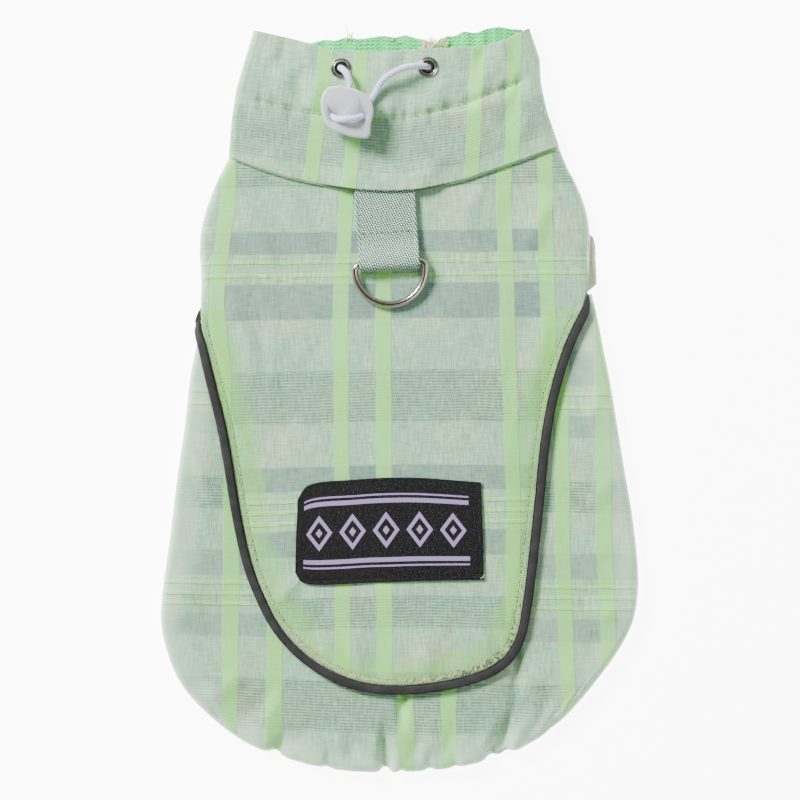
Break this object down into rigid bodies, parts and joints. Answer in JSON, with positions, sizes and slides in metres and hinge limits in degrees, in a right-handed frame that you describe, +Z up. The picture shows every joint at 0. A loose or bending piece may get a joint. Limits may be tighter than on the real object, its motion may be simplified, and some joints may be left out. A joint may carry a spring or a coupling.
{
  "type": "dog tank top",
  "caption": "Sleeveless dog top in light checked cloth, laid flat: stand collar with drawcord and soft lock, back cape edged in piping, webbing with leash ring, woven label, gathered hem.",
  "frame": {"origin": "middle of the laid garment's outline, on the surface that it lies on", "axes": "+Y from the hem to the neck, +Z up from the surface, +X to the right with the neck at the top"},
  "size_m": [0.1955, 0.3048, 0.0195],
  "materials": {
    "checked_cloth": "light cotton voile with satin stripes and open-weave bands, matt",
    "piping_tape": "dark grey reflective tape, satin",
    "green_binding": "plain cotton binding, matt",
    "cream_binding": "plain cotton binding, matt",
    "mint_mesh": "knitted mesh, matt",
    "sage_webbing": "herringbone webbing, slight sheen",
    "nickel": "nickel plate, polished",
    "white_elastic": "braided elastic cord",
    "milky_silicone": "milky, slightly see-through silicone, satin",
    "black_weave": "damask woven label, matt"
  },
  "bodies": {
    "garment": {"back_panel": "checked_cloth", "belly_panel": "checked_cloth", "cape": "checked_cloth", "cape_piping": "piping_tape", "collar": "checked_cloth", "collar_lining": "mint_mesh", "armhole_binding_left": "green_binding", "armhole_binding_right": "cream_binding", "webbing_loop": "sage_webbing", "eyelet_left": "nickel", "eyelet_right": "nickel", "drawcord": "white_elastic", "cord_lock": "milky_silicone", "label": "black_weave"},
    "leash_ring": {"d_ring": "nickel"}
  },
  "joints": [
    {"name": "leash_ring_swing", "type": "hinge", "parent": "garment", "child": "leash_ring", "pos_m": [-0.0041, 0.0557, 0.00719], "axis": [-0.9976, -0.0698, 0], "range_deg": [0, 165]}
  ]
}
